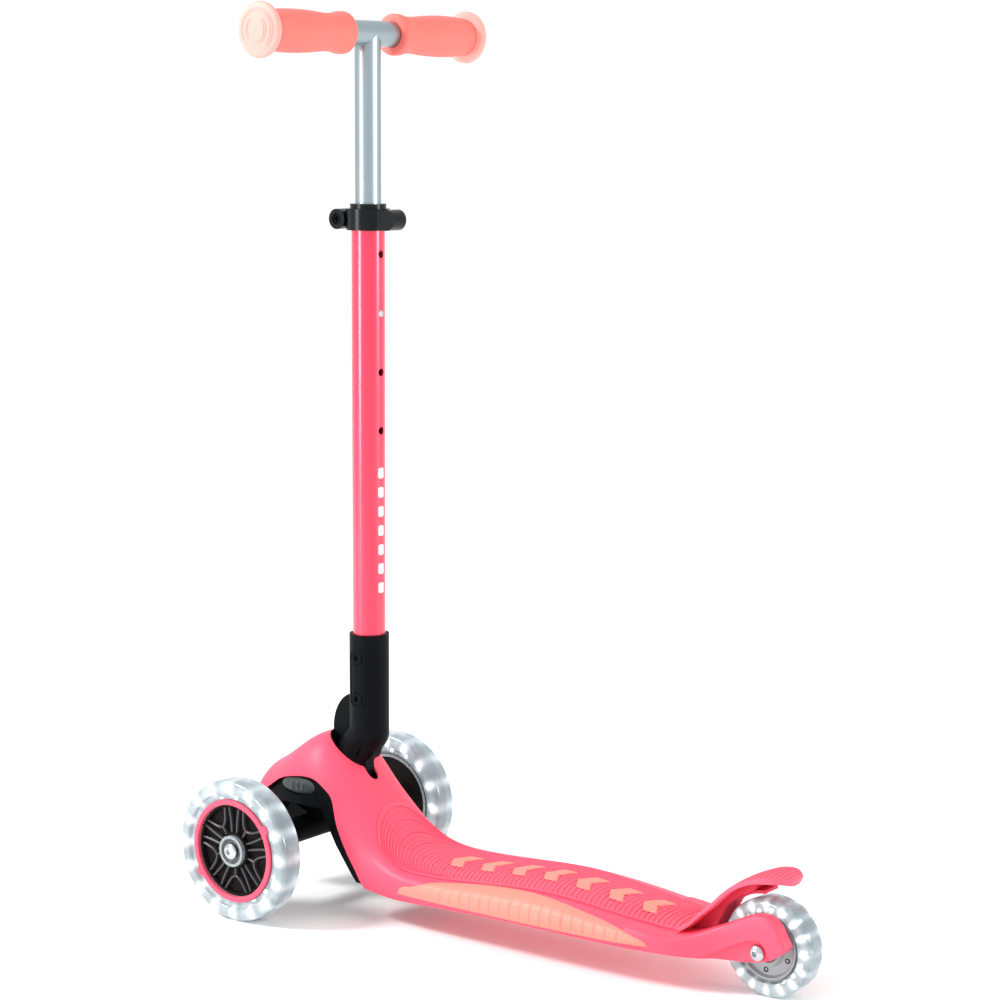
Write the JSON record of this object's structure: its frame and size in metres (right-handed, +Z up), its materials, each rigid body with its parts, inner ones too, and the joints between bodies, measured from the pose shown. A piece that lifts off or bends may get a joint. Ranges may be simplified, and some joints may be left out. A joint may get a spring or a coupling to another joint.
{
  "type": "kick scooter",
  "caption": "Child's kick scooter with two lean-to-steer front wheels, a folding stem, a height-adjustable T-bar, a ridged deck and a rear foot brake.",
  "frame": {"origin": "on the ground, at the middle of the scooter's length and width", "axes": "+X is the direction of travel, +Y the rider's left, +Z up"},
  "size_m": [0.573, 0.2744, 0.7734],
  "materials": {
    "pink_plastic": "matt moulded plastic",
    "pink_tube": "satin paint",
    "peach_plastic": "matt moulded plastic",
    "grip_rubber": "soft rubber",
    "bumper_rubber": "soft rubber",
    "black_plastic": "satin",
    "grey_plastic": "satin",
    "clear_tyre": "clear polyurethane",
    "clear_core": "translucent",
    "light_ring": "lamps",
    "aluminium": "satin anodised",
    "zinc_steel": "zinc plated",
    "bearing_steel": "polished",
    "spring_steel": "plain",
    "white_nylon": "plain"
  },
  "bodies": {
    "deck": {"deck_shell": "pink_plastic", "tread_pad": "pink_plastic", "tread_emblems": "peach_plastic", "side_inserts": "peach_plastic", "fold_plate": "black_plastic", "front_housing": "black_plastic", "lock_spring": "spring_steel", "fold_pivot_pin": "zinc_steel", "kingpin_bolt": "zinc_steel", "kingpin_nut": "zinc_steel", "kingpin_washer": "zinc_steel", "steering_cushion": "grey_plastic", "rear_axle_bolt": "zinc_steel", "rear_axle_nut": "zinc_steel", "rear_wheel_spacers": "zinc_steel", "rear_bearing_sleeve": "zinc_steel", "brake_pivot_pin": "zinc_steel"},
    "front_truck": {"truck_body": "black_plastic", "kingpin_bushes": "white_nylon", "front_axle_bolts": "zinc_steel", "front_axle_spacers": "zinc_steel", "left_front_bearing_sleeve": "zinc_steel", "right_front_bearing_sleeve": "zinc_steel"},
    "left_front_wheel": {"left_front_tyre": "clear_tyre", "left_front_wheel_core": "clear_core", "left_front_light_ring": "light_ring", "left_front_wheel_bearings": "bearing_steel", "left_front_wheel_cover": "black_plastic", "left_front_inner_cover": "black_plastic", "left_front_accent_ring": "pink_plastic"},
    "right_front_wheel": {"right_front_tyre": "clear_tyre", "right_front_wheel_core": "clear_core", "right_front_light_ring": "light_ring", "right_front_wheel_bearings": "bearing_steel", "right_front_wheel_cover": "black_plastic", "right_front_inner_cover": "black_plastic", "right_front_accent_ring": "pink_plastic"},
    "rear_wheel": {"rear_tyre": "clear_tyre", "rear_wheel_core": "clear_core", "rear_light_ring": "light_ring", "rear_wheel_bearings": "bearing_steel"},
    "brake": {"brake_fender": "pink_plastic", "brake_shoe": "zinc_steel", "brake_return_spring": "spring_steel"},
    "stem": {"lower_stem_tube": "pink_tube", "fold_knuckle": "black_plastic", "knuckle_bolts": "zinc_steel", "knuckle_nuts": "zinc_steel", "clamp_collar": "black_plastic", "clamp_bolt": "zinc_steel", "clamp_nut": "zinc_steel", "stem_top_bushing": "black_plastic"},
    "t_bar": {"upper_stem_tube": "aluminium", "button_spring": "spring_steel", "handlebar_tube": "aluminium", "stem_guide_bush": "white_nylon", "grips": "grip_rubber", "grip_bumpers": "bumper_rubber"},
    "height_button": {"height_button": "zinc_steel"},
    "fold_button": {"fold_button": "grey_plastic"}
  },
  "joints": [
    {"name": "fold", "type": "hinge", "parent": "deck", "child": "stem", "pos_m": [0.1655, 0, 0.137], "axis": [0, -1, 0], "range_deg": [0, 90]},
    {"name": "height", "type": "slide", "parent": "stem", "child": "t_bar", "axis": [-0.0212, 0, 0.9998], "range_m": [-0.1, 0.05], "deforming": ["height_button"]},
    {"name": "height_button_press", "type": "slide", "parent": "t_bar", "child": "height_button", "axis": [0.9998, 0, 0.0212], "range_m": [0, 0.003], "stiffness_N_per_m": 900, "springref_m": -0.002, "deforming": ["button_spring"]},
    {"name": "steer", "type": "hinge", "parent": "deck", "child": "front_truck", "pos_m": [0.2418, 0, 0.0485], "axis": [0.4226, 0, 0.9063], "range_deg": [-15, 15], "stiffness_Nm_per_rad": 6},
    {"name": "left_front_wheel_spin", "type": "hinge", "parent": "front_truck", "child": "left_front_wheel", "pos_m": [0.225, 0.103, 0.0615], "axis": [0, 1, 0], "continuous": true},
    {"name": "right_front_wheel_spin", "type": "hinge", "parent": "front_truck", "child": "right_front_wheel", "pos_m": [0.225, -0.103, 0.0615], "axis": [0, 1, 0], "continuous": true},
    {"name": "rear_wheel_spin", "type": "hinge", "parent": "deck", "child": "rear_wheel", "pos_m": [-0.247, 0, 0.0395], "axis": [0, 1, 0], "continuous": true},
    {"name": "brake_press", "type": "hinge", "parent": "deck", "child": "brake", "pos_m": [-0.184, 0, 0.037], "axis": [0, -1, 0], "range_deg": [0, 2.4], "stiffness_Nm_per_rad": 3, "springref_deg": -5.73},
    {"name": "fold_button_press", "type": "slide", "parent": "deck", "child": "fold_button", "axis": [0, -1, 0], "range_m": [0, 0.0038], "stiffness_N_per_m": 900, "springref_m": -0.002}
  ]
}
